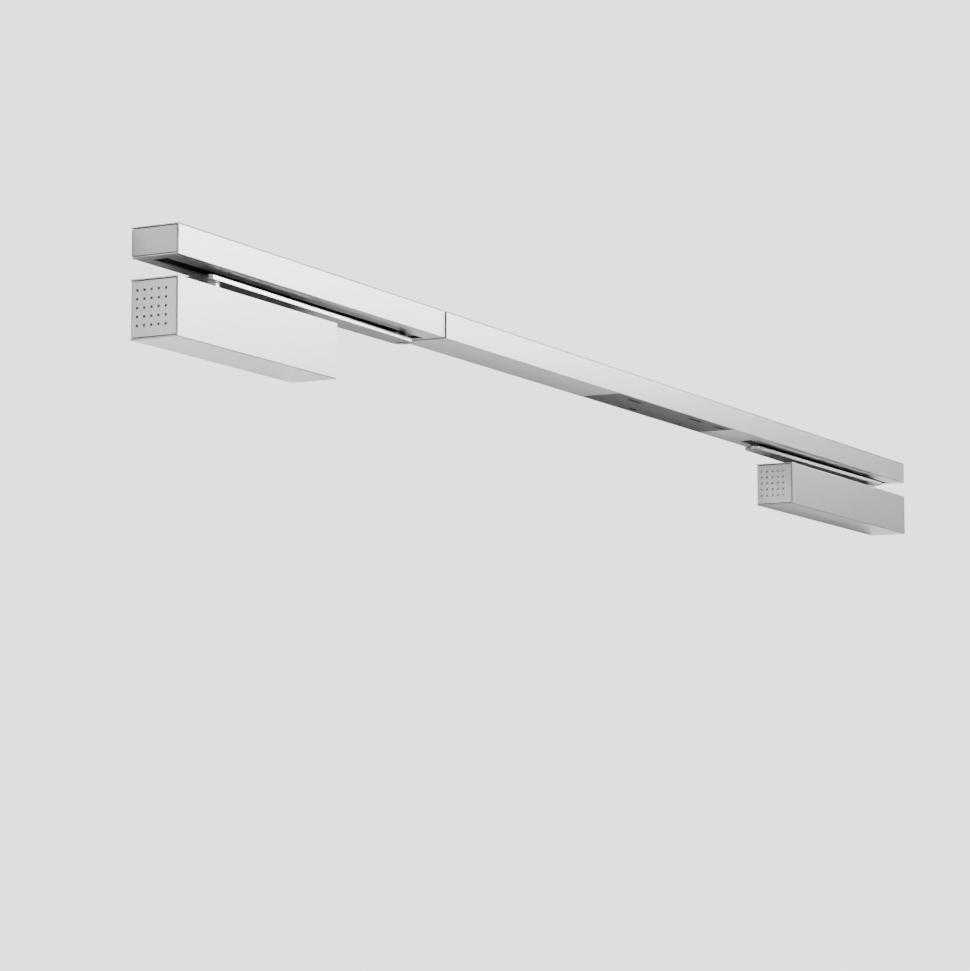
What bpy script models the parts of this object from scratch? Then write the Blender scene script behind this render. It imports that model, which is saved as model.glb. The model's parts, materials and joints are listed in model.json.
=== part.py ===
"""Overhead door closer set for a pair of doors: two rack and pinion closers, each with an arm that runs
in one long guide rail, which also holds a smoke detector and the rod that makes the leaves close in order.

Frame: X along the rail, +Y into the wall, +Z up. The origin is the centre of the rail's back face.
Every length below is in millimetres, and MM turns it into metres.
"""

import math

import bmesh
import bpy

MM = 0.001
GAP = 0.3  # running gap between neighbouring pieces

# Rail
RAIL_LENGTH = 2070.0
RAIL_END = RAIL_LENGTH / 2
DEPTH = 56.0  # how far the rail and the closers stand out from the wall
RAIL_HEIGHT = 31.0
RAIL_TOP = RAIL_HEIGHT / 2
RAIL_BOTTOM = -RAIL_TOP
SKIN = 1.5  # sheet thickness of every cover
TOP_SKIN = 1.2
CAP = 2.5  # thickness of every end cap
CAP_GROOVE = 0.7  # groove between an end cap and the cover round it
CAP_INSET = 0.5
PERFORATION = 2.3
SEAM_X = -493.0  # centre of the plate between the two rail covers
SEAM = 8.0
SEAM_DEPTH = 0.8  # how far its plate lies below the covers
SEAM_GROOVE = 2.2  # groove to the right of the plate
WEB = 2.5  # back web of the carrier

# Closers
CLOSER_HEIGHT = 60.0
CLOSER_TOP = RAIL_BOTTOM - 21.0
CLOSER_BOTTOM = CLOSER_TOP - CLOSER_HEIGHT
CLOSER_Z = (CLOSER_TOP + CLOSER_BOTTOM) / 2
PLATE = 3.0
CASTING_START, CASTING_END = 8.0, 295.0  # from the closer's outer end, like "spindle" below
SIDES = {
    "left": {"side": -1, "length": 303.0, "spindle": 101.0, "arm": 399.0},
    "right": {"side": 1, "length": 476.0, "spindle": 84.0, "arm": 461.0},
}

# Spindle, rack and piston
AXIS_Y = -24.5  # spindle, piston, arm and track all share this depth
MODULE = 1.75
TEETH = 12
PRESSURE = math.radians(25)
PITCH_R = MODULE * TEETH / 2
ADDENDUM = 1.4
PINION_ROOT = 1.9
RACK_ROOT = 1.75
BACKLASH = 0.15
DOOR_SWING = math.radians(140)
STROKE = PITCH_R * DOOR_SWING
PISTON_R = 17.2
BORE_R = 17.6
SHAFT_R = 7.5
SHAFT_BORE_R = 14.0
SEAT = 273.0  # spring seat, from the outer end

# Arm
ARM_BOTTOM, ARM_THICK = -25.2, 4.4
ARM_TOP = ARM_BOTTOM + ARM_THICK
ARM_WIDTH = 24.0  # at the slide block
HEEL_WIDTH, HEEL = 36.0, 21.0  # width at the spindle, and how far the arm runs on past it
DRIVE = 9.0  # square drive on top of the spindle
HEX_KEY = 4.0

# Track and slide block
TRACK_HALF = 17.0
TRACK_WALL = 4.0
TRACK_BOTTOM, TRACK_TOP = RAIL_BOTTOM + SKIN + 0.4, 11.6
SLOT = 17.0
BLOCK = 32.0
TRACK_ENDS = {"left": (-1015.0, -508.0), "right": (456.0, 1015.0)}
SLOT_ENDS = {"left": (-1020.0, -502.0), "right": (460.0, 1020.0)}
TRACK_SCREWS = {"left": (-960.0, -620.0), "right": (600.0, 960.0)}

# Smoke detector, in the underside of the right-hand rail cover
DETECTOR = (-24.0, 347.0)
DETECTOR_TOP = 0.0
VENTS = ((47, -43, 40), (242, -43, 42), (324, -43, 34), (107, -12, 24))
LENS = (188.0, -37.0, 2.4)
BUTTON = (262.0, -9.4, 3.2)

ROD_Y, ROD_Z, ROD_R = -47.0, 6.0, 2.5

COLOURS = {  # base colour, metallic, roughness
    "anodised": ((0.78, 0.78, 0.79, 1), 0.9, 0.38),
    "cap": ((0.62, 0.62, 0.63, 1), 0.8, 0.45),
    "cast": ((0.55, 0.56, 0.58, 1), 0.7, 0.55),
    "zinc": ((0.66, 0.67, 0.68, 1), 0.9, 0.35),
    "bright_steel": ((0.80, 0.80, 0.81, 1), 1.0, 0.25),
    "dark_steel": ((0.10, 0.10, 0.11, 1), 0.8, 0.45),
    "dark_plastic": ((0.11, 0.11, 0.12, 1), 0.0, 0.5),
    "nylon": ((0.05, 0.05, 0.05, 1), 0.0, 0.45),
    "brass": ((0.72, 0.55, 0.25, 1), 1.0, 0.3),
    "board": ((0.05, 0.25, 0.12, 1), 0.0, 0.5),
    "lens": ((0.75, 0.12, 0.10, 1), 0.0, 0.2),
}


# ---------------------------------------------------------------- helpers


def clear_scene():
    for obj in list(bpy.data.objects):
        bpy.data.objects.remove(obj)


def new_collection(name):
    collection = bpy.data.collections.new(name)
    bpy.context.scene.collection.children.link(collection)
    return collection


def material(name):
    found = bpy.data.materials.get(name)
    if found:
        return found
    made = bpy.data.materials.new(name)
    made.use_nodes = True
    shader = made.node_tree.nodes["Principled BSDF"]
    colour, metallic, roughness = COLOURS[name]
    shader.inputs["Base Color"].default_value = colour
    shader.inputs["Metallic"].default_value = metallic
    shader.inputs["Roughness"].default_value = roughness
    made.diffuse_color = colour
    return made


def place(name, data, centre, finish, rotation=(0, 0, 0)):
    """A new object in the closer set's collection, or among the cutters when it has no finish."""
    obj = bpy.data.objects.new(name, data)
    obj.location = [c * MM for c in centre]
    obj.rotation_euler = rotation
    if finish:
        PARTS.objects.link(obj)
        data.materials.append(material(finish))
    else:
        CUTTERS.objects.link(obj)
        obj.hide_render = True
        obj.display_type = "WIRE"
    return obj


def box(name, xs, ys, zs, finish=None):
    low, high = zip(*(sorted(pair) for pair in (xs, ys, zs)))
    mesh = bpy.data.meshes.new(name)
    form = bmesh.new()
    bmesh.ops.create_cube(form, size=1.0)
    bmesh.ops.scale(form, vec=[(b - a) * MM for a, b in zip(low, high)], verts=form.verts)
    form.to_mesh(mesh)
    form.free()
    return place(name, mesh, [(a + b) / 2 for a, b in zip(low, high)], finish)


TURN = {"X": (0, math.pi / 2, 0), "Y": (-math.pi / 2, 0, 0), "Z": (0, 0, 0)}


def cylinder(name, centre, radius, length, axis="Z", finish=None, segments=32):
    mesh = bpy.data.meshes.new(name)
    form = bmesh.new()
    bmesh.ops.create_cone(
        form,
        cap_ends=True,
        segments=segments,
        radius1=radius * MM,
        radius2=radius * MM,
        depth=length * MM,
    )
    form.to_mesh(mesh)
    form.free()
    mesh.shade_smooth()
    mesh.set_sharp_from_angle(angle=math.radians(30))
    return place(name, mesh, centre, finish, TURN[axis])


def turned(name, centre, profile, axis, finish, segments=24):
    """A profile of (radius, height) points, from the top down the outer side, swept round the axis."""
    mesh = bpy.data.meshes.new(name)
    points = [(r * MM, 0, h * MM) for r, h in profile]
    ends = range(len(points) - 1)
    mesh.from_pydata(points, [(i, i + 1) for i in ends], [])
    obj = place(name, mesh, centre, finish, TURN[axis])
    screw = obj.modifiers.new("Turn", "SCREW")
    screw.axis = "Z"
    screw.angle = 2 * math.pi
    screw.steps = screw.render_steps = segments
    screw.use_merge_vertices = True
    screw.merge_threshold = 0.00001
    screw.use_smooth_shade = True
    return obj


PRISM_TURN = {"X": (math.pi / 2, 0, math.pi / 2), "Y": (math.pi / 2, 0, 0), "Z": (0, 0, 0)}


def prism(name, axis, outlines, low, high, finish=None):
    """Flat outlines, the first one with any others as its holes, drawn across the axis and extruded
    along it. Points are (Y, Z) for axis X, (X, Z) for axis Y and (X, Y) for axis Z."""
    curve = bpy.data.curves.new(name, "CURVE")
    curve.dimensions = "2D"
    curve.fill_mode = "BOTH"
    curve.extrude = abs(high - low) / 2 * MM
    for outline in outlines:
        spline = curve.splines.new("POLY")
        spline.points.add(len(outline) - 1)
        for point, (u, v) in zip(spline.points, outline):
            point.co = (u * MM, v * MM, 0, 1)
        spline.use_cyclic_u = True
    centre = [0.0, 0.0, 0.0]
    centre["XYZ".index(axis)] = (low + high) / 2
    return place(name, curve, centre, finish, PRISM_TURN[axis])


def as_mesh(curve_object):
    """The same object with a welded mesh in place of its curve, ready for Booleans."""
    bpy.context.view_layer.update()
    graph = bpy.context.evaluated_depsgraph_get()
    mesh = bpy.data.meshes.new_from_object(curve_object.evaluated_get(graph))
    form = bmesh.new()
    form.from_mesh(mesh)
    bmesh.ops.remove_doubles(form, verts=form.verts, dist=1e-6)
    bmesh.ops.recalc_face_normals(form, faces=form.faces)
    form.to_mesh(mesh)
    form.free()
    name, holder = curve_object.name, curve_object.users_collection[0]
    matrix, hidden = curve_object.matrix_world.copy(), curve_object.hide_render
    bpy.data.objects.remove(curve_object)
    made = bpy.data.objects.new(name, mesh)
    holder.objects.link(made)
    made.matrix_world = matrix
    made.hide_render = hidden
    made.display_type = "WIRE" if hidden else "TEXTURED"
    return made


def hang(child, parent):
    """Parent an object to another one without moving it."""
    bpy.context.view_layer.update()
    child.parent = parent
    child.matrix_parent_inverse = parent.matrix_world.inverted()


def combine(target, operation, *others):
    for other in others:
        step = target.modifiers.new(other.name, "BOOLEAN")
        step.operation = operation
        step.object = other
        hang(other, target)
    return target


def cut(target, *cutters):
    return combine(target, "DIFFERENCE", *cutters)


def arc(centre, radius, start, end, steps):
    """Points on a circle, from one angle to another in degrees."""
    angles = [math.radians(start + (end - start) * k / steps) for k in range(steps + 1)]
    return [(centre[0] + radius * math.cos(a), centre[1] + radius * math.sin(a)) for a in angles]


def rectangle(centre, width, height):
    (u, v), w, h = centre, width / 2, height / 2
    return [(u - w, v - h), (u + w, v - h), (u + w, v + h), (u - w, v + h)]


def hexagon(centre, across):
    """Corners of a hexagon, from its width across the flats."""
    return arc(centre, across / math.sqrt(3), 0, 300, 5)


def inwards(side, *distances):
    """X of the distances measured inwards from that side's end of the rail."""
    found = [side * (RAIL_END - d) for d in distances]
    return found[0] if len(found) == 1 else tuple(found)


# ---------------------------------------------------------------- guide rail


def rail_cover_outline():
    """Front, top and bottom of a rail cover, open at the back."""
    front, inner = -DEPTH, -DEPTH + SKIN
    return [
        (-GAP, RAIL_TOP),
        (front, RAIL_TOP),
        (front, RAIL_BOTTOM),
        (-WEB - 0.5, RAIL_BOTTOM),
        (-WEB - 0.5, RAIL_BOTTOM + SKIN),
        (inner, RAIL_BOTTOM + SKIN),
        (inner, RAIL_TOP - TOP_SKIN),
        (-GAP, RAIL_TOP - TOP_SKIN),
    ]


def slot_cutter(name, ends):
    ys = (AXIS_Y - SLOT / 2, AXIS_Y + SLOT / 2)
    return box(f"cut_slot_{name}", ends, ys, (RAIL_BOTTOM - 2, RAIL_BOTTOM + 2))


def make_rail_covers():
    left = prism(
        "rail_cover_left", "X", [rail_cover_outline()], -RAIL_END, SEAM_X - SEAM / 2 - GAP, "anodised"
    )
    cut(as_mesh(left), slot_cutter("left", SLOT_ENDS["left"]))
    right = prism(
        "rail_cover_right", "X", [rail_cover_outline()], SEAM_X + SEAM / 2 + GAP, RAIL_END, "anodised"
    )
    window = box(
        "cut_detector_window",
        (DETECTOR[0] - 0.4, DETECTOR[1] + 0.4),
        (-DEPTH + SKIN + 0.1, 0),
        (RAIL_BOTTOM - 2, RAIL_BOTTOM + SKIN + 0.3),
    )
    cut(as_mesh(right), slot_cutter("right", SLOT_ENDS["right"]), window)


def make_carrier():
    """Long angle that is screwed to the door frame and carries the tracks and the covers."""
    outline = [(0, -15.2), (0, 14), (-42, 14), (-42, 12), (-WEB, 12), (-WEB, -15.2)]
    end = RAIL_END - CAP - 0.5
    carrier = as_mesh(prism("rail_carrier", "X", [outline], -end, end, "zinc"))
    for k, x in enumerate((-990, -585, -150, 150, 585, 990)):
        cut(carrier, cylinder(f"cut_frame_screw_{k}", (x, 0, -2), 2.8, 12, "Y", segments=12))
    for x in TRACK_SCREWS["left"] + TRACK_SCREWS["right"]:
        cut(carrier, cylinder(f"cut_flange_{x:.0f}", (x, AXIS_Y, 13), 3.9, 8, "Z", segments=12))


def make_track(name):
    """Channel with its slot downwards, in which the slide block runs."""
    inner, lip = TRACK_HALF - TRACK_WALL, SLOT / 2
    low, high = TRACK_BOTTOM, TRACK_TOP
    half = [(lip, low), (TRACK_HALF, low), (TRACK_HALF, high)]
    hollow = [(inner, high - 3), (inner, low + 3), (lip, low + 3)]
    right = [(AXIS_Y + u, v) for u, v in half]
    left = [(AXIS_Y - u, v) for u, v in reversed(half)]
    inside_left = [(AXIS_Y - u, v) for u, v in reversed(hollow)]
    inside_right = [(AXIS_Y + u, v) for u, v in hollow]
    outline = right + left + inside_left + inside_right
    track = as_mesh(prism(f"track_{name}", "X", [outline], *TRACK_ENDS[name], "dark_steel"))
    for k, x in enumerate(TRACK_SCREWS[name]):
        cut(track, cylinder(f"cut_{name}_{k}", (x, AXIS_Y, high - 1), 2.2, 8, "Z", segments=12))
        head = [(0, 1.0), (3.4, 1.0), (3.4, -0.6), (1.8, -1.2), (1.8, -4.6), (0, -4.6)]
        turned(f"track_screw_{name}_{k + 1}", (x, AXIS_Y, 13), head, "Z", "dark_steel", 12)


def make_rail_ends():
    """Inset end caps, and the plate that closes the seam between the two covers."""
    for name, side in (("left", -1), ("right", 1)):
        height = RAIL_HEIGHT - SKIN - TOP_SKIN - 2 * CAP_GROOVE
        centre = ((-DEPTH + SKIN) / 2, (SKIN - TOP_SKIN) / 2)
        outline = rectangle(centre, DEPTH - SKIN - 2 * CAP_GROOVE, height)
        prism(f"rail_end_cap_{name}", "X", [outline], *inwards(side, CAP_INSET, CAP), "cap")
    top, bottom, under = RAIL_TOP - SEAM_DEPTH, RAIL_BOTTOM + SEAM_DEPTH, 12 - GAP
    front = -DEPTH + SEAM_DEPTH
    outline = [
        (front, bottom),
        (-WEB - GAP, bottom),
        (-WEB - GAP, under),
        (-42 - GAP, under),
        (-42 - GAP, top),
        (front, top),
    ]
    hole = arc((ROD_Y, ROD_Z), ROD_R + 0.6, 0, 330, 11)
    left, right = SEAM_X - SEAM / 2, SEAM_X + SEAM / 2 + GAP - SEAM_GROOVE
    prism("rail_joint_plate", "X", [outline, hole], left, right, "cap")


def make_sequence_rod():
    """Rod that passes the position of one leaf's slide block to a clamp on the other leaf's."""
    left, right = TRACK_ENDS["left"][1] + 2.3, TRACK_ENDS["right"][0] - 2.3
    cylinder(
        "sequence_rod", ((left + right) / 2, ROD_Y, ROD_Z), ROD_R, right - left - 20, "X", "zinc", 16
    )
    for name, xs in (("clamp", (left, left + 8)), ("trigger", (right - 8, right))):
        box(f"sequence_{name}", xs, (ROD_Y - 4, AXIS_Y), (-6, ROD_Z + 4), "dark_steel")


def make_detector():
    """Smoke detector: open-topped housing with vents, a board, a chamber, a light and a test button."""
    x0, x1 = DETECTOR
    ys, floor = (-DEPTH + SKIN + 0.5, -WEB - 0.7), RAIL_BOTTOM + 2.2
    housing = box("detector_housing", DETECTOR, ys, (RAIL_BOTTOM, DETECTOR_TOP), "dark_plastic")
    hollow = box("cut_detector", (x0 + 2, x1 - 2), (ys[0] + 2, ys[1] - 2), (floor, DETECTOR_TOP + 2))
    cut(housing, hollow)
    for k, (x, y, length) in enumerate(VENTS):
        xs = (x - length / 2, x + length / 2)
        cut(housing, box(f"cut_vent_{k}", xs, (y - 2, y + 2), (RAIL_BOTTOM - 2, floor + 2)))
    for name, (x, y, radius) in (("lens", LENS), ("button", BUTTON)):
        hole = cylinder(f"cut_{name}", (x, y, RAIL_BOTTOM), radius + 0.5, 12, "Z", segments=20)
        cut(housing, hole)
    x, y, radius = LENS
    profile = [(0, 6), (radius, 6), (radius, 0.6), (radius - 0.6, 0), (0, 0)]
    turned("detector_lens", (x, y, RAIL_BOTTOM), profile, "Z", "lens", 16)
    x, y, radius = BUTTON
    profile = [(0, 7), (radius, 7), (radius, 0.9), (radius - 0.6, 0.4), (0, 0.4)]
    turned("detector_button", (x, y, RAIL_BOTTOM), profile, "Z", "nylon", 20)
    box("detector_board", (x0 + 90, x1 - 70), (-49, -14), (-6.5, -4.9), "board")
    profile = [(0, 5), (17, 5), (17, -1), (15, -4), (0, -4)]
    turned("detector_chamber", (20, -29, -7), profile, "Z", "dark_plastic", 24)
    box("power_supply", (-410, -120), (-51, -7), (-13, 1.5), "dark_plastic")


# ---------------------------------------------------------------- closer


def make_shell(name, side, length):
    """Back plate, U-shaped cover and the two perforated end caps of one closer."""
    plate_x = inwards(side, CAP + 2, length - CAP - 2)
    plate_z = (CLOSER_BOTTOM + SKIN + 0.5, CLOSER_TOP - SKIN - 0.5)
    plate = box(f"mounting_plate_{name}", plate_x, (-PLATE, 0), plate_z, "zinc")
    for k, (s, z) in enumerate((s, z) for s in (24, length - 24) for z in (-16, 16)):
        hole = cylinder(
            f"cut_{name}_plate_{k}", (inwards(side, s), 0, CLOSER_Z + z), 2.8, 12, "Y", segments=12
        )
        cut(plate, hole)

    front, inner, back = -DEPTH, -DEPTH + SKIN, -0.5
    outline = [
        (back, CLOSER_TOP),
        (front, CLOSER_TOP),
        (front, CLOSER_BOTTOM),
        (back, CLOSER_BOTTOM),
        (back, CLOSER_BOTTOM + SKIN),
        (inner, CLOSER_BOTTOM + SKIN),
        (inner, CLOSER_TOP - SKIN),
        (back, CLOSER_TOP - SKIN),
    ]
    cover = as_mesh(
        prism(f"closer_cover_{name}", "X", [outline], *sorted(inwards(side, 0, length)), "anodised")
    )
    spindle = inwards(side, SIDES[name]["spindle"])
    notch = arc((spindle, AXIS_Y), 11, 180, 360, 12) + [(spindle + 11, 2), (spindle - 11, 2)]
    cutter = prism(f"cut_{name}_notch", "Z", [notch], CLOSER_TOP - 3, CLOSER_TOP + 2)
    cut(cover, as_mesh(cutter))

    plain = rectangle(
        ((front + SKIN + back) / 2 - 0.1, CLOSER_Z),
        DEPTH - SKIN - 0.5 - 2 * CAP_GROOVE,
        CLOSER_HEIGHT - 2 * SKIN - 2 * CAP_GROOVE,
    )
    holes = [
        rectangle((-25 + 8.4 * i, CLOSER_Z + 1.2 + 8.8 * k), PERFORATION, PERFORATION)
        for i in range(-2, 3)
        for k in range(-2, 3)
    ]
    for end, near in (("outer", CAP_INSET), ("inner", length - CAP)):
        xs = inwards(side, near, near + CAP - CAP_INSET)
        prism(f"end_cap_{end}_{name}", "X", [plain] + holes, *sorted(xs), "cap")


def make_casting(name, side):
    """Body casting with the piston bore, the spindle bore and two valve bores."""
    ys, zs = (-DEPTH + SKIN + 0.7, -PLATE - 0.4), (CLOSER_BOTTOM + 2.5, CLOSER_TOP - 2.7)
    casting = box(
        f"body_casting_{name}", inwards(side, CASTING_START, CASTING_END), ys, zs, "cast"
    )
    middle = (CASTING_START + CASTING_END) / 2
    spindle = inwards(side, SIDES[name]["spindle"])
    cut(
        casting,
        cylinder(f"cut_{name}_bore", (inwards(side, middle), AXIS_Y, CLOSER_Z), BORE_R, 320, "X"),
        cylinder(f"cut_{name}_spindle", (spindle, AXIS_Y, CLOSER_Z), SHAFT_BORE_R, 70, "Z"),
    )
    turn = -side * math.pi / 2
    for k, valve in enumerate(("closing", "latching")):
        z = CLOSER_Z + (12, -12)[k]
        centre = (inwards(side, CASTING_START + 8), -48, z)
        cut(casting, cylinder(f"cut_{name}_{valve}", centre, 3.6, 32, "X", segments=16))
        profile = [(0, 16), (2.4, 16), (2.4, 8), (3.2, 6), (3.2, 0), (0, 0)]
        valve_x = inwards(side, CASTING_START - 2)
        screw = turned(f"{valve}_valve_{name}", (valve_x, -48, z), profile, "Z", "brass", 16)
        screw.rotation_euler = (0, turn, 0)
        slot_x = inwards(side, CASTING_START - 3, CASTING_START - 0.8)
        cut(screw, box(f"cut_{name}_{valve}_slot", slot_x, (-48.5, -47.5), (z - 5, z + 5)))


def make_plugs(name, side):
    """The two plugs that close the bore, and the screw that sets the spring's strength."""
    turn = (0, -side * math.pi / 2, 0)
    centre = (inwards(side, CASTING_START + 1), AXIS_Y, CLOSER_Z)
    profile = [(0, 12), (15.2, 12), (15.2, 9), (17.1, 9), (17.1, 2), (16.2, 1), (6, 1), (6, 4), (0, 4)]
    turned(f"damping_plug_{name}", centre, profile, "Z", "zinc").rotation_euler = turn
    centre = (inwards(side, SEAT + 10), AXIS_Y, CLOSER_Z)
    profile = [(4.4, 11), (16.2, 11), (17.1, 10), (17.1, 0), (4.4, 0), (4.4, 11)]
    turned(f"spring_plug_{name}", centre, profile, "Z", "zinc").rotation_euler = turn
    centre = (inwards(side, SEAT), AXIS_Y, CLOSER_Z)
    profile = [(0, 25), (3.3, 25), (3.9, 24), (3.9, 5), (16.3, 5), (16.3, 0), (0, 0)]
    adjuster = turned(f"spring_adjuster_{name}", centre, profile, "Z", "zinc")
    adjuster.rotation_euler = turn
    slot_x = inwards(side, SEAT + 23.5, SEAT + 27)
    slot_y = (AXIS_Y - 0.7, AXIS_Y + 0.7)
    cut(adjuster, box(f"cut_{name}_adjuster", slot_x, slot_y, (CLOSER_Z - 6, CLOSER_Z + 6)))


def pinion_outline(centre):
    """Involute teeth, one of them pointing to -Y, where it stands in a gap of the rack."""
    base = PITCH_R * math.cos(PRESSURE)
    tip, root = PITCH_R + ADDENDUM, PITCH_R - PINION_ROOT

    def involute(radius):
        angle = math.acos(min(1.0, base / radius))
        return math.tan(angle) - angle

    def half_tooth(radius):
        at_pitch = math.pi / (2 * TEETH) - BACKLASH / (2 * PITCH_R)
        return at_pitch + involute(PITCH_R) - involute(max(radius, base))

    radii = [root, base, base + (tip - base) * 0.6, tip]
    points = []
    for tooth in range(TEETH):
        middle = -math.pi / 2 + tooth * 2 * math.pi / TEETH
        for sign, ordered in ((-1, radii), (1, radii[::-1])):
            for radius in ordered:
                angle = middle + sign * half_tooth(radius)
                points.append((centre[0] + radius * math.cos(angle), centre[1] + radius * math.sin(angle)))
    return points


def rack_window(centre, side):
    """The piston's window, with the rack's teeth along its front, over the spindle's whole travel."""
    pitch = math.pi * MODULE
    clear = PITCH_R + ADDENDUM + 0.4
    far = clear + STROKE
    low, high = (-far, clear) if side < 0 else (-clear, far)

    def half_gap(depth):
        return pitch / 4 + BACKLASH / 2 - (depth - PITCH_R) * math.tan(PRESSURE)

    tip, root = PITCH_R - ADDENDUM, PITCH_R + RACK_ROOT
    points = []
    first, last = math.ceil((low + half_gap(tip)) / pitch), math.floor((high - half_gap(tip)) / pitch)
    for gap in range(first, last + 1):
        x = gap * pitch
        points += [
            (x - half_gap(tip), -tip),
            (x - half_gap(root), -root),
            (x + half_gap(root), -root),
            (x + half_gap(tip), -tip),
        ]
    low, high = min(low, points[0][0] - 0.2), max(high, points[-1][0] + 0.2)
    outline = [(low, -tip)] + points + [(high, -tip), (high, clear), (low, clear)]
    return [(centre[0] + u, centre[1] + v) for u, v in outline]


def make_drive(name, side):
    """Spindle with its pinion, the two bearings, and the piston whose rack the pinion moves."""
    spindle = inwards(side, SIDES[name]["spindle"])
    gear = prism(
        f"pinion_shaft_{name}",
        "Z",
        [pinion_outline((spindle, AXIS_Y))],
        CLOSER_Z - 8,
        CLOSER_Z + 8,
        "bright_steel",
    )
    gear = as_mesh(gear)
    low, shoulder, top = CLOSER_BOTTOM + 5, ARM_BOTTOM - 0.3, ARM_TOP - 0.6
    middle = (spindle, AXIS_Y, (low + shoulder) / 2)
    shaft = cylinder(f"join_{name}_shaft", middle, SHAFT_R, shoulder - low, "Z", segments=24)
    half = DRIVE / 2
    square = box(
        f"join_{name}_drive",
        (spindle - half, spindle + half),
        (AXIS_Y - half, AXIS_Y + half),
        (shoulder - 3, top),
    )
    combine(gear, "UNION", shaft, square)
    cut(gear, cylinder(f"cut_{name}_thread", (spindle, AXIS_Y, top), 2.8, 26, "Z", segments=16))

    inner, outer = SHAFT_R + 0.5, SHAFT_BORE_R - 0.5
    ring = [(inner, 0), (outer, 0), (outer, -9), (inner, -9), (inner, 0)]
    turned(f"top_bearing_{name}", (spindle, AXIS_Y, CLOSER_TOP - 3), ring, "Z", "bright_steel")
    cup = [(inner, 9), (outer, 9), (outer, 0), (0, 0), (0, 1.7), (inner, 1.7), (inner, 9)]
    turned(f"bottom_bearing_{name}", (spindle, AXIS_Y, CLOSER_BOTTOM + 2.8), cup, "Z", "bright_steel")

    inset = SIDES[name]["spindle"]
    start, end = inset - 50, inset + 24
    piston = cylinder(
        f"rack_piston_{name}",
        (inwards(side, (start + end) / 2), AXIS_Y, CLOSER_Z),
        PISTON_R,
        end - start,
        "X",
        "bright_steel",
    )
    window = rack_window((spindle, AXIS_Y), side)
    cutter = prism(f"cut_{name}_rack", "Z", [window], CLOSER_Z - 20, CLOSER_Z + 20)
    cut(piston, as_mesh(cutter))


def make_spring(name, side):
    """Closing spring between the piston and the adjuster's seat."""
    wire, radius, turns, steps = 2.1, 13.6, 7, 9
    start, end = SIDES[name]["spindle"] + 24 + wire + 0.6, SEAT - wire - 0.6
    curve = bpy.data.curves.new(f"closing_spring_{name}", "CURVE")
    curve.dimensions = "3D"
    curve.bevel_depth = wire * MM
    curve.bevel_resolution = 1
    curve.use_fill_caps = True
    spline = curve.splines.new("POLY")
    count = turns * steps
    spline.points.add(count)
    for k, point in enumerate(spline.points):
        angle = 2 * math.pi * k / steps
        s = start + (end - start) * k / count
        y, z = radius * math.cos(angle), radius * math.sin(angle)
        point.co = (inwards(side, s) * MM, (AXIS_Y + y) * MM, (CLOSER_Z + z) * MM, 1)
    place(f"closing_spring_{name}", curve, (0, 0, 0), "dark_steel")


def make_hold_open_unit():
    """Valve unit with its solenoid, in the longer right-hand closer, inwards of the casting."""
    side, length = SIDES["right"]["side"], SIDES["right"]["length"]
    xs = inwards(side, CASTING_END + 8, length - CAP - 6)
    box("hold_open_unit", xs, (-50, -PLATE - 0.4), (CLOSER_Z - 22, CLOSER_Z + 22), "cap")


# ---------------------------------------------------------------- arm


def arm_outline(spindle, slider):
    """Tapered bar: a square end behind the spindle, and a round one at the slide block."""
    toward = 1 if slider > spindle else -1
    narrow, wide, corner = ARM_WIDTH / 2, HEEL_WIDTH / 2, 3
    heel = [(corner - HEEL, wide), (-HEEL, wide - corner)]
    heel += [(u, -v) for u, v in reversed(heel)]
    tip = arc((abs(slider - spindle), 0), narrow, -90, 90, 8)
    return [(spindle + toward * u, AXIS_Y + v) for u, v in heel + tip]


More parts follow.
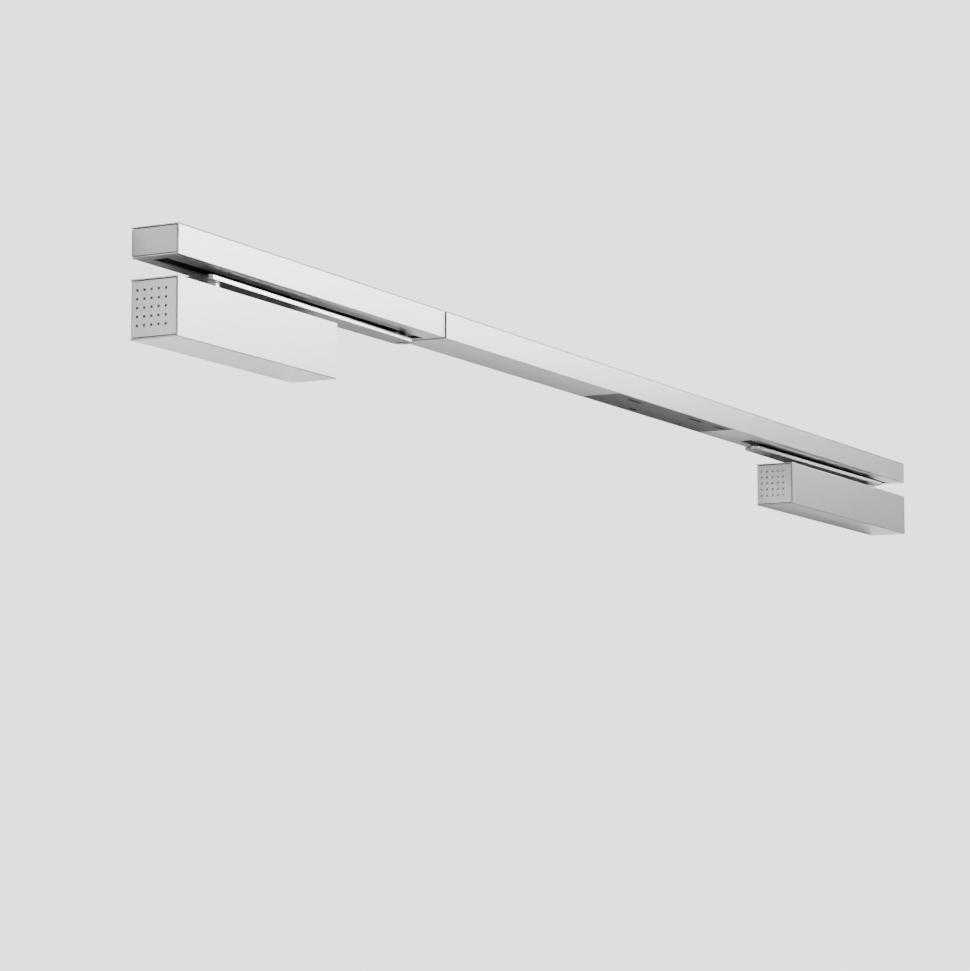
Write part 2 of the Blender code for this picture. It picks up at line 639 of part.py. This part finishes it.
def make_arm(name, side, length):
    """Arm, its screw, and the slide block with the pin on which the arm turns."""
    spindle = inwards(side, SIDES[name]["spindle"])
    slider = spindle - side * length
    arm = as_mesh(
        prism(f"arm_{name}", "Z", [arm_outline(spindle, slider)], ARM_BOTTOM, ARM_TOP, "bright_steel")
    )
    hub = cylinder(f"join_{name}_hub", (spindle, AXIS_Y, ARM_BOTTOM - 1), 12, 8, "Z", segments=24)
    combine(arm, "UNION", hub)
    half = DRIVE / 2 + 0.3
    drive = box(
        f"cut_{name}_drive",
        (spindle - half, spindle + half),
        (AXIS_Y - half, AXIS_Y + half),
        (ARM_BOTTOM - 0.2, ARM_TOP + 2),
    )
    socket = cylinder(
        f"cut_{name}_socket", (spindle, AXIS_Y, ARM_BOTTOM - 3), SHAFT_R + 0.4, 6, "Z", segments=24
    )
    pin_hole = cylinder(f"cut_{name}_pin", (slider, AXIS_Y, ARM_TOP), 4.3, 20, "Z", segments=16)
    counterbore = cylinder(
        f"cut_{name}_head", (slider, AXIS_Y, ARM_BOTTOM - 1), 7.5, 6, "Z", segments=20
    )
    cut(arm, drive, socket, pin_hole, counterbore)

    profile = [(0, 2.6), (6.6, 2.6), (7.6, 1.6), (7.6, 0.3), (2.4, 0.3), (2.4, -9), (0, -9)]
    screw = turned(f"arm_screw_{name}", (spindle, AXIS_Y, ARM_TOP), profile, "Z", "dark_steel", 20)
    key = hexagon((spindle, AXIS_Y), HEX_KEY)
    key = prism(f"cut_{name}_screw_key", "Z", [key], ARM_TOP - 2, ARM_TOP + 4)
    cut(screw, as_mesh(key))

    neck, head = SLOT / 2 - 0.4, TRACK_HALF - TRACK_WALL - 0.4
    low, shelf, top = RAIL_BOTTOM + 0.4, TRACK_BOTTOM + 3.4, 6.0
    outline = [
        (-neck, low),
        (neck, low),
        (neck, shelf),
        (head, shelf + 0.3),
        (head, top),
        (-head, top),
        (-head, shelf + 0.3),
        (-neck, shelf),
    ]
    outline = [(AXIS_Y + u, v) for u, v in outline]
    block = as_mesh(
        prism(f"slide_block_{name}", "X", [outline], slider - BLOCK / 2, slider + BLOCK / 2, "nylon")
    )
    cut(block, cylinder(f"cut_{name}_block", (slider, AXIS_Y, low), 4.3, 24, "Z", segments=16))
    foot = ARM_BOTTOM + 0.2
    profile = [(0, 20.2), (3.2, 20.2), (3.8, 19.6), (3.8, 1.4), (7.0, 1.4), (7.0, 0.4), (6.6, 0), (0, 0)]
    pin = turned(f"slide_pin_{name}", (slider, AXIS_Y, foot), profile, "Z", "dark_steel", 16)
    key = prism(f"cut_{name}_pin_key", "Z", [hexagon((slider, AXIS_Y), HEX_KEY)], foot - 2, foot + 2.4)
    cut(pin, as_mesh(key))


# ---------------------------------------------------------------- moving bodies


def joint_frame(name, centre):
    """Empty on the axis of a moving body's joint, from which the body's pieces hang."""
    frame = bpy.data.objects.new(name, None)
    frame.location = [c * MM for c in centre]
    frame.empty_display_size = 0.03
    PARTS.objects.link(frame)
    return frame


def join_bodies(name, side, length):
    """One side's chain: slider on the rail, arm on the slider's pin, closer on the arm's spindle."""
    spindle = inwards(side, SIDES[name]["spindle"])
    slider = joint_frame(f"joint_slider_{name}", (spindle - side * length, AXIS_Y, ARM_BOTTOM))
    arm = joint_frame(f"joint_arm_{name}", (spindle - side * length, AXIS_Y, ARM_BOTTOM))
    closer = joint_frame(f"joint_closer_{name}", (spindle, AXIS_Y, CLOSER_Z))
    piston = joint_frame(f"joint_piston_{name}", (spindle, AXIS_Y, CLOSER_Z))
    hang(arm, slider)
    hang(closer, arm)
    hang(piston, closer)
    for frame, kinds in ((slider, SLIDER_PIECES), (arm, ARM_PIECES), (closer, CLOSER_PIECES)):
        for kind in kinds:
            hang(bpy.data.objects[f"{kind}_{name}"], frame)
    hang(bpy.data.objects[f"rack_piston_{name}"], piston)


SLIDER_PIECES = ("slide_block", "slide_pin")
ARM_PIECES = ("arm", "arm_screw", "pinion_shaft")
CLOSER_PIECES = (
    "mounting_plate",
    "closer_cover",
    "end_cap_outer",
    "end_cap_inner",
    "body_casting",
    "closing_valve",
    "latching_valve",
    "damping_plug",
    "spring_plug",
    "spring_adjuster",
    "top_bearing",
    "bottom_bearing",
    "closing_spring",
)


# ---------------------------------------------------------------- assembly

clear_scene()
PARTS = new_collection("door_closer_set")
CUTTERS = new_collection("cutters")

make_carrier()
make_rail_covers()
make_rail_ends()
make_sequence_rod()
make_detector()
make_hold_open_unit()
for side_name, facts in SIDES.items():
    make_track(side_name)
    make_shell(side_name, facts["side"], facts["length"])
    make_casting(side_name, facts["side"])
    make_plugs(side_name, facts["side"])
    make_drive(side_name, facts["side"])
    make_spring(side_name, facts["side"])
    make_arm(side_name, facts["side"], facts["arm"])
    join_bodies(side_name, facts["side"], facts["arm"])
hang(bpy.data.objects["hold_open_unit"], bpy.data.objects["joint_closer_right"])
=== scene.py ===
"""Looks for the double door closer set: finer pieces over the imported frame, and their materials."""

import json
import math

import bmesh
import bpy
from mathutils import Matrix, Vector


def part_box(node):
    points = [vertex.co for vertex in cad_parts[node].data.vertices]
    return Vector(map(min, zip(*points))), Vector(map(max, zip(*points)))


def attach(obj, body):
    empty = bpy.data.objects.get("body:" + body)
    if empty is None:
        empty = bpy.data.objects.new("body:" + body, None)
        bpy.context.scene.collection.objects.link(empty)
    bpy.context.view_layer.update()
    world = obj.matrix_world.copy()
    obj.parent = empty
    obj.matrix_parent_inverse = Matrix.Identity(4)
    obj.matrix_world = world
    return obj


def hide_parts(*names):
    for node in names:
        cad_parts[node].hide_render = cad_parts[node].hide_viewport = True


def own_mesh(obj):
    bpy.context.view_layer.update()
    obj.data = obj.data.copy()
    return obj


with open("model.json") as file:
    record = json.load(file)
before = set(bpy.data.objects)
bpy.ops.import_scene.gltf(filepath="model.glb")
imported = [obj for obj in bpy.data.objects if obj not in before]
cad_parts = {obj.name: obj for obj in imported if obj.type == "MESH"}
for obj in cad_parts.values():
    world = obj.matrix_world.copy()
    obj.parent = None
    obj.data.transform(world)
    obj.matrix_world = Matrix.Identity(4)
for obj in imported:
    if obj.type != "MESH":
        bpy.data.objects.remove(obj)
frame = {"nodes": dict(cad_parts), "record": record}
NODES, RECORD = frame["nodes"], frame["record"]
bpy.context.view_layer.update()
BODY = {node: body for body, nodes in RECORD["behaviour"]["bodies"].items() for node in nodes}
SLOT = {part["node"]: part["material_slot"] for part in RECORD["subparts"]}
MM = 0.001
# Two places closer than this are one, and a cut takes in what lies closer to it than CUT.
SAME = 0.001 * MM
CUT = 0.1 * SAME
X, Y, Z = range(3)


# ---------------------------------------------------------------- materials

# Noise scales per metre, and how far brushing draws a metal's grain out.
BROAD, PATCHES, BRUSHED = 9.0, 30.0, 0.012
# How far colour, as a part of itself, and roughness go to either side of their means.
METAL_SHADES, METAL_SHEEN = 0.02, 0.06
PLASTIC_SHADES, PLASTIC_SHEEN = 0.08, 0.05
# The part of the noise's range that is used.
NOISE_LOW, NOISE_HIGH = 0.3, 0.7


class Shader:
    """A material under construction: a Principled BSDF and the few node patterns used here."""

    def __init__(self, name, colour, metallic, roughness):
        self.material = bpy.data.materials.new(name)
        self.material.use_nodes = True
        self.tree = self.material.node_tree
        self.bsdf = self.tree.nodes["Principled BSDF"]
        self.colour, self.roughness = colour, roughness
        self.bsdf.inputs["Base Color"].default_value = (*colour, 1)
        self.bsdf.inputs["Metallic"].default_value = metallic
        self.bsdf.inputs["Roughness"].default_value = roughness
        self.material.diffuse_color = (*colour, 1)
        self.place = self.tree.nodes.new("ShaderNodeTexCoord")

    def link(self, output, socket):
        self.tree.links.new(output, socket)

    def noise(self, scale, detail=3.0, stretch=(1, 1, 1)):
        """Noise with its scale per metre, drawn out along an axis where stretch is under 1."""
        mapping = self.tree.nodes.new("ShaderNodeMapping")
        mapping.inputs["Scale"].default_value = stretch
        self.link(self.place.outputs["Object"], mapping.inputs["Vector"])
        noise = self.tree.nodes.new("ShaderNodeTexNoise")
        noise.inputs["Scale"].default_value = scale
        noise.inputs["Detail"].default_value = detail
        self.link(mapping.outputs["Vector"], noise.inputs["Vector"])
        return noise.outputs["Fac"]

    def spread(self, value, low, high):
        """Noise spread over the range from low to high."""
        node = self.tree.nodes.new("ShaderNodeMapRange")
        node.inputs["From Min"].default_value = NOISE_LOW
        node.inputs["From Max"].default_value = NOISE_HIGH
        node.inputs["To Min"].default_value = low
        node.inputs["To Max"].default_value = high
        self.link(value, node.inputs["Value"])
        return node.outputs["Result"]

    def vary_colour(self, value, amount):
        """Base colour from a little darker to a little lighter than the mean."""
        ramp = self.tree.nodes.new("ShaderNodeValToRGB")
        low, high = ramp.color_ramp.elements
        low.position, high.position = NOISE_LOW, NOISE_HIGH
        low.color = [channel * (1 - amount) for channel in self.colour] + [1]
        high.color = [min(1, channel * (1 + amount)) for channel in self.colour] + [1]
        self.link(value, ramp.inputs["Fac"])
        self.link(ramp.outputs["Color"], self.bsdf.inputs["Base Color"])

    def vary_roughness(self, value, amount):
        """Roughness from a little under to a little over the mean."""
        spread = self.spread(value, self.roughness - amount, self.roughness + amount)
        self.link(spread, self.bsdf.inputs["Roughness"])

    def bump(self, value, depth):
        """Surface relief, with its depth in metres."""
        node = self.tree.nodes.new("ShaderNodeBump")
        node.inputs["Strength"].default_value = 1.0
        node.inputs["Distance"].default_value = depth
        self.link(value, node.inputs["Height"])
        self.link(node.outputs["Normal"], self.bsdf.inputs["Normal"])


def satin_metal(name, colour, roughness, grain, along=None, metallic=1.0, relief=0.000012):
    """Anodised, plated or brushed metal. Its grain is a noise scale per metre, and its brushing
    follows the axis along."""
    made = Shader(name, colour, metallic, roughness)
    stretch = [1.0, 1.0, 1.0]
    if along is not None:
        stretch[along] = BRUSHED
    fine = made.noise(grain, detail=4.0, stretch=stretch)
    broad = made.noise(BROAD, detail=2.0)
    made.vary_colour(broad, METAL_SHADES)
    made.vary_roughness(fine, METAL_SHEEN)
    made.bump(fine, relief)
    return made.material


def moulded(name, colour, roughness, grain, relief=0.00003):
    """Moulded plastic, or a coated board, with a fine grain."""
    made = Shader(name, colour, 0.0, roughness)
    fine = made.noise(grain, detail=2.0)
    made.vary_colour(made.noise(PATCHES), PLASTIC_SHADES)
    made.vary_roughness(fine, PLASTIC_SHEEN)
    made.bump(fine, relief)
    return made.material


# One look for each slot, and another for the broken edges of some. The anodised, cap and dark plastic
# edge looks are darker than their faces: painted shade along the edges. The bright steel edge keeps
# its colour and is only rougher.
LOOKS = {
    "anodised": satin_metal("anodised", (0.80, 0.80, 0.805), 0.33, 2600.0, along=X),
    "cap": satin_metal("cap", (0.88, 0.88, 0.885), 0.42, 2600.0, along=Y),
    "cast": satin_metal("cast", (0.42, 0.43, 0.45), 0.6, 700.0, metallic=0.7),
    "zinc": satin_metal("zinc", (0.62, 0.63, 0.64), 0.38, 900.0),
    "bright_steel": satin_metal(
        "bright_steel", (0.92, 0.92, 0.925), 0.14, 2400.0, along=X, relief=0.000003
    ),
    # Blackened steel, the own finish of pins and screws. The rail's tracks take it as well, and there
    # its darkness is painted shade in the slot.
    "dark_steel": satin_metal("dark_steel", (0.09, 0.09, 0.095), 0.42, 1500.0, metallic=0.6),
    "dark_plastic": moulded("dark_plastic", (0.06, 0.06, 0.064), 0.5, 1500.0),
    "nylon": moulded("nylon", (0.03, 0.03, 0.03), 0.45, 1800.0),
    "brass": satin_metal("brass", (0.72, 0.52, 0.24), 0.3, 1800.0),
    "board": moulded("board", (0.02, 0.17, 0.07), 0.4, 900.0),
    "lens": moulded("lens", (0.03, 0.004, 0.004), 0.25, 400.0, relief=0.000005),
}
EDGES = {
    "anodised": satin_metal("anodised_edge", (0.11, 0.11, 0.115), 0.3, 2600.0),
    "cap": satin_metal("cap_edge", (0.50, 0.50, 0.51), 0.3, 2600.0),
    "bright_steel": satin_metal("bright_steel_edge", (0.92, 0.92, 0.925), 0.2, 2400.0),
    "dark_plastic": moulded("dark_plastic_edge", (0.015, 0.015, 0.015), 0.6, 1500.0),
}
# Nodes, and faces of nodes, that look different from the rest of their slot. The rail caps and the
# joint plate have tones of their own; the hollow look and the arm's underside look are painted shade.
RAIL_CAP = satin_metal("rail_cap", (0.70, 0.70, 0.705), 0.42, 2600.0, along=Y)
JOINT_PLATE = satin_metal("plate", (0.56, 0.56, 0.565), 0.38, 2600.0, along=Z)
# Painted shade: near black for the vents' walls, the housing's inside and the chamber seen through
# them.
HOLLOW_PAINTED_SHADE = moulded("chamber", (0.012, 0.012, 0.012), 0.8, 900.0)
# Painted shade for the arm's underside and its left-facing ends, which lie in shadow.
ARM_UNDERSIDE_SHADE = satin_metal("arm_underside", (0.33, 0.33, 0.335), 0.36, 900.0, along=X)
OWN_LOOKS = {
    "rail_end_cap_left": RAIL_CAP,
    "rail_end_cap_right": RAIL_CAP,
    "rail_joint_plate": JOINT_PLATE,
    "detector_chamber": HOLLOW_PAINTED_SHADE,
}


# ---------------------------------------------------------------- pieces

SIDES = ("left", "right")
# Places in a piece's list of materials, after its own look: the edge look, then the painted shade of
# chosen faces.
EDGE_LOOK, SHADED_FACE_LOOK = 1, 2
# Widths of the broken edges, in millimetres.
BROKEN_EDGES = {
    "rail_end_cap_{}": 0.4,
    "arm_{}": 0.7,
    "slide_block_{}": 0.5,
    "arm_screw_{}": 0.25,
    "slide_pin_{}": 0.25,
    "mounting_plate_{}": 0.4,
    "body_casting_{}": 1.2,
    "track_{}": 0.3,
}
BROKEN_EDGES_ONCE = {
    "rail_joint_plate": 0.3,
    "hold_open_unit": 0.6,
    "power_supply": 0.8,
    "rail_carrier": 0.3,
    "detector_button": 0.3,
}
RAIL_COVER_EDGE, CLOSER_COVER_EDGE, HOUSING_EDGE, END_CAP_EDGE = 0.3, 0.4, 0.3, 0.25
# How far from its edge a front face starts to fall back, and how far back it goes, in millimetres.
RAIL_TOP_EASE = (1.6, 0.25)
CLOSER_TOP_EASE = (0.9, 0.2)
CLOSER_BOTTOM_EASE = (0.7, 0.2)
# A face this deep in the housing, in millimetres, belongs to its vents or its inside; these faces get
# painted shade.
VENT_DEPTH = 0.2
# A face counts as turned along an axis from this part of its normal on.
FACING = 0.9
# An edge sharper than this is broken, and faces that meet more flatly than this become one.
SHARP, FLAT = math.radians(35.0), math.radians(1.0)


def finished(piece, node):
    """Gives a piece the look of the CAD piece that it is, or stands for."""
    if piece.data.materials:
        piece.data.materials.clear()
    piece.data.materials.append(OWN_LOOKS.get(node, LOOKS[SLOT[node]]))
    if SLOT[node] in EDGES:
        piece.data.materials.append(EDGES[SLOT[node]])


def welded(node):
    """The mesh of a CAD piece as a bmesh, with each flat face in one piece."""
    form = bmesh.new()
    form.from_mesh(NODES[node].data)
    bmesh.ops.remove_doubles(form, verts=form.verts, dist=SAME)
    bmesh.ops.dissolve_limit(
        form,
        angle_limit=FLAT,
        verts=form.verts,
        edges=form.edges,
        use_dissolve_boundaries=False,
    )
    return form


def ease_front(form, node, ease, at_top, shade_strip=False):
    """Turns the front face of a cover back beside its top or bottom edge. Where it is asked for, that
    strip of the face takes the dark look of the edges: a painted shade line beside that edge."""
    fall, depth = (number * MM for number in ease)
    low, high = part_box(node)
    edge = high.z if at_top else low.z
    start = edge - fall if at_top else edge + fall
    shape = form.verts[:] + form.edges[:] + form.faces[:]
    bmesh.ops.bisect_plane(form, geom=shape, plane_co=(0, 0, start), plane_no=(0, 0, 1), dist=CUT)
    for vert in form.verts:
        if abs(vert.co.z - edge) < SAME and abs(vert.co.y - low.y) < SAME:
            vert.co.y += depth
    # Painted shade: the strip beside the edge takes the dark edge look.
    if shade_strip:
        form.normal_update()
        for face in form.faces:
            middle = face.calc_center_median()
            in_strip = abs(middle.z - edge) < fall and abs(face.normal.y) > FACING
            if in_strip and middle.y < low.y + depth:
                face.material_index = EDGE_LOOK


def perforated(node):
    """An end cap as a grid of quads cut through at its holes, so that each hole has clean edges.
    Along Y and Z the cap's bars and holes take turns, and it starts and ends with a bar."""
    points = [vert.co for vert in NODES[node].data.vertices]
    xs, ys, zs = (sorted({round(point[axis], 6) for point in points}) for axis in (X, Y, Z))
    form = bmesh.new()
    grid = [[form.verts.new((xs[0], y, z)) for z in zs] for y in ys]
    for i in range(len(ys) - 1):
        for k in range(len(zs) - 1):
            is_hole = i % 2 == 1 and k % 2 == 1
            if not is_hole:
                form.faces.new((grid[i][k], grid[i + 1][k], grid[i + 1][k + 1], grid[i][k + 1]))
    made = bmesh.ops.extrude_face_region(form, geom=form.faces[:], use_keep_orig=True)
    for item in made["geom"]:
        if isinstance(item, bmesh.types.BMVert):
            item.co.x = xs[-1]
    bmesh.ops.recalc_face_normals(form, faces=form.faces)
    return form


def refine(node, form, width):
    """A finer piece that stands for a CAD piece, with its edges broken by width in millimetres."""
    mesh = bpy.data.meshes.new(f"fine_{node}")
    form.to_mesh(mesh)
    form.free()
    piece = bpy.data.objects.new(f"fine_{node}", mesh)
    bpy.context.scene.collection.objects.link(piece)
    mesh.shade_smooth()
    bevel = piece.modifiers.new("Broken edges", "BEVEL")
    bevel.width = width * MM
    bevel.segments = 2
    bevel.limit_method = "ANGLE"
    bevel.angle_limit = SHARP
    # Bevel faces take the edge look, which paints shade along anodised, cap and dark plastic edges.
    if SLOT[node] in EDGES:
        bevel.material = EDGE_LOOK
    weighted = piece.modifiers.new("Flat faces", "WEIGHTED_NORMAL")
    weighted.weight = 100
    weighted.keep_sharp = True
    finished(piece, node)
    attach(piece, BODY[node])
    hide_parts(node)
    return piece


def closing_spring(side):
    """The spring again, as a smooth-shaded copy of its CAD piece that rides on that piece's body."""
    node = f"closing_spring_{side}"
    mesh = NODES[node].data.copy()
    mesh.shade_smooth()
    piece = bpy.data.objects.new(f"fine_{node}", mesh)
    bpy.context.scene.collection.objects.link(piece)
    finished(piece, node)
    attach(piece, BODY[node])
    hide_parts(node)
    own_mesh(piece)


def painted_shade_faces(piece, look, chosen):
    """Gives the chosen faces of a piece a darker look of their own: painted shade."""
    piece.data.materials.append(look)
    for face in piece.data.polygons:
        if chosen(face):
            face.material_index = SHADED_FACE_LOOK


def turned_down_or_left(face):
    """Whether a face of an arm is its underside, or an end of it that faces left."""
    return min(face.normal.x, face.normal.z) < -FACING


def inside_housing(face):
    """Whether a face of the detector's housing lies behind its visible underside."""
    return face.center.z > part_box("detector_housing")[0].z + VENT_DEPTH * MM


for name, thing in NODES.items():
    finished(thing, name)
for side in SIDES:
    for name, edge in BROKEN_EDGES.items():
        piece = refine(name.format(side), welded(name.format(side)), edge)
        if name == "arm_{}":
            # The arm's underside and left-facing ends get painted shade.
            painted_shade_faces(piece, ARM_UNDERSIDE_SHADE, turned_down_or_left)
    for end in ("outer", "inner"):
        cap = f"end_cap_{end}_{side}"
        refine(cap, perforated(cap), END_CAP_EDGE)
    closing_spring(side)
    rail, closer = f"rail_cover_{side}", f"closer_cover_{side}"
    shape = welded(rail)
    # Painted shade: a dark line along the top edge of the rail's front.
    ease_front(shape, rail, RAIL_TOP_EASE, at_top=True, shade_strip=True)
    refine(rail, shape, RAIL_COVER_EDGE)
    shape = welded(closer)
    ease_front(shape, closer, CLOSER_TOP_EASE, at_top=True)
    # Painted shade: a dark line along the bottom edge of the closer's front.
    ease_front(shape, closer, CLOSER_BOTTOM_EASE, at_top=False, shade_strip=True)
    refine(closer, shape, CLOSER_COVER_EDGE)
for name, edge in BROKEN_EDGES_ONCE.items():
    refine(name, welded(name), edge)
housing = refine("detector_housing", welded("detector_housing"), HOUSING_EDGE)
# The vents' walls and the housing's inside get painted shade.
painted_shade_faces(housing, HOLLOW_PAINTED_SHADE, inside_housing)


# ---------------------------------------------------------------- surroundings

# Places and sizes in metres, and strengths of what glows.
TINT = (1.0, 0.972, 1.0)
FLOOR_HALF, FLOOR_Z, FLOOR_SEEN = 60.0, -7.5, 2.3
WALL_HALF, WALL_Y, WALL_HEIGHTS = 1.6, 0.0006, (-0.6, 0.4)
# A ray shorter than this has only just left the set, and passes the wall.
WALL_PASS = 0.005
BACKDROP_SEEN, BACKDROP_LIGHT = 2.5, 0.41
# Name, place, aim, width, height and watts of each area light.
LIGHTS = (
    ("key", (1.54, -1.71, 1.4), (-0.89, 0, 0), 3.5, 2.0, 147),
    ("low", (-1.16, -0.3, -0.73), (-0.9, 0, -0.1), 0.8, 0.6, 12.7),
    ("rim", (3.5, -1.13, 0.36), (0.7, -0.04, -0.02), 0.45, 0.12, 0.2),
    ("fill", (0.25, -0.3, -0.4), (0.45, 0, -0.06), 0.4, 0.4, 0.5),
)
CAMERA_PLACE = (-3.3974, -1.6304, -0.5859)
# Degrees, and millimetres for the lens and its sensor.
CAMERA_TILT, CAMERA_TURN = 6.938, -62.329
LENS, SENSOR = 109.89, 36.0


def plain_card(name, corners):
    """A flat four-cornered card that belongs to the studio."""
    mesh = bpy.data.meshes.new(name)
    mesh.from_pydata(corners, [], [(0, 1, 2, 3)])
    card = bpy.data.objects.new(name, mesh)
    bpy.context.scene.collection.objects.link(card)
    return card


def matt(name, grey):
    """A matt paint with hardly any shine."""
    look = Shader(name, (grey, grey, grey), 0.0, 0.9)
    look.bsdf.inputs["Specular IOR Level"].default_value = 0.1
    return look


def add_floor():
    """Pale floor that stays pale to the camera, while it reflects only what light reaches it."""
    x, z = FLOOR_HALF, FLOOR_Z
    floor = plain_card("floor", [(-x, -x, z), (x, -x, z), (x, x, z), (-x, x, z)])
    look = matt("floor", 0.8)
    tree = look.tree
    glow = tree.nodes.new("ShaderNodeEmission")
    glow.inputs["Color"].default_value = (*TINT, 1)
    glow.inputs["Strength"].default_value = FLOOR_SEEN
    path = tree.nodes.new("ShaderNodeLightPath")
    mix = tree.nodes.new("ShaderNodeMixShader")
    look.link(path.outputs["Is Camera Ray"], mix.inputs["Fac"])
    look.link(look.bsdf.outputs[0], mix.inputs[1])
    look.link(glow.outputs[0], mix.inputs[2])
    look.link(mix.outputs[0], tree.nodes["Material Output"].inputs["Surface"])
    floor.data.materials.append(look.material)


def add_wall():
    """Pale wall that the set hangs on. The camera never sees it, so the back stays in view, but it
    bounces light and closes the gaps behind the set. Rays that only just left the set pass it."""
    x, y = WALL_HALF, WALL_Y
    low, high = WALL_HEIGHTS
    wall = plain_card("wall", [(-x, y, low), (x, y, low), (x, y, high), (-x, y, high)])
    wall.visible_camera = False
    look = matt("wall", 0.78)
    tree = look.tree
    path = tree.nodes.new("ShaderNodeLightPath")
    near = tree.nodes.new("ShaderNodeMath")
    near.operation = "LESS_THAN"
    near.inputs[1].default_value = WALL_PASS
    clear = tree.nodes.new("ShaderNodeBsdfTransparent")
    mix = tree.nodes.new("ShaderNodeMixShader")
    look.link(path.outputs["Ray Length"], near.inputs[0])
    look.link(near.outputs[0], mix.inputs["Fac"])
    look.link(look.bsdf.outputs[0], mix.inputs[1])
    look.link(clear.outputs[0], mix.inputs[2])
    look.link(mix.outputs[0], tree.nodes["Material Output"].inputs["Surface"])
    wall.data.materials.append(look.material)


def add_world():
    """A pale surround that looks as bright as a lit wall, and lights the object more gently."""
    world = bpy.data.worlds.new("pale")
    world.use_nodes = True
    tree = world.node_tree
    light = tree.nodes["Background"]
    seen = tree.nodes.new("ShaderNodeBackground")
    for node, strength in ((light, BACKDROP_LIGHT), (seen, BACKDROP_SEEN)):
        node.inputs["Color"].default_value = (*TINT, 1)
        node.inputs["Strength"].default_value = strength
    path = tree.nodes.new("ShaderNodeLightPath")
    mix = tree.nodes.new("ShaderNodeMixShader")
    tree.links.new(path.outputs["Is Camera Ray"], mix.inputs["Fac"])
    tree.links.new(light.outputs[0], mix.inputs[1])
    tree.links.new(seen.outputs[0], mix.inputs[2])
    tree.links.new(mix.outputs[0], tree.nodes["World Output"].inputs["Surface"])
    bpy.context.scene.world = world


def add_softbox(name, place, aim, width, height, power):
    """A rectangular area light that the camera does not see."""
    data = bpy.data.lights.new(name, "AREA")
    data.shape = "RECTANGLE"
    data.size, data.size_y = width, height
    data.energy = power
    data.color = TINT
    lamp = bpy.data.objects.new(name, data)
    lamp.location = place
    lamp.visible_camera = False
    lamp.rotation_euler = (Vector(aim) - Vector(place)).to_track_quat("-Z", "Y").to_euler()
    bpy.context.scene.collection.objects.link(lamp)


def add_camera():
    """The camera below and to the left, tilted up from level and turned from facing the wall."""
    data = bpy.data.cameras.new("camera")
    data.lens = LENS
    data.sensor_width = SENSOR
    data.sensor_fit = "HORIZONTAL"
    data.clip_start, data.clip_end = 0.05, 300
    camera = bpy.data.objects.new("camera", data)
    camera.location = CAMERA_PLACE
    camera.rotation_euler = (math.radians(90 + CAMERA_TILT), 0, math.radians(CAMERA_TURN))
    bpy.context.scene.collection.objects.link(camera)
    bpy.context.scene.camera = camera


add_floor()
add_wall()
add_world()
for light in LIGHTS:
    add_softbox(*light)
add_camera()
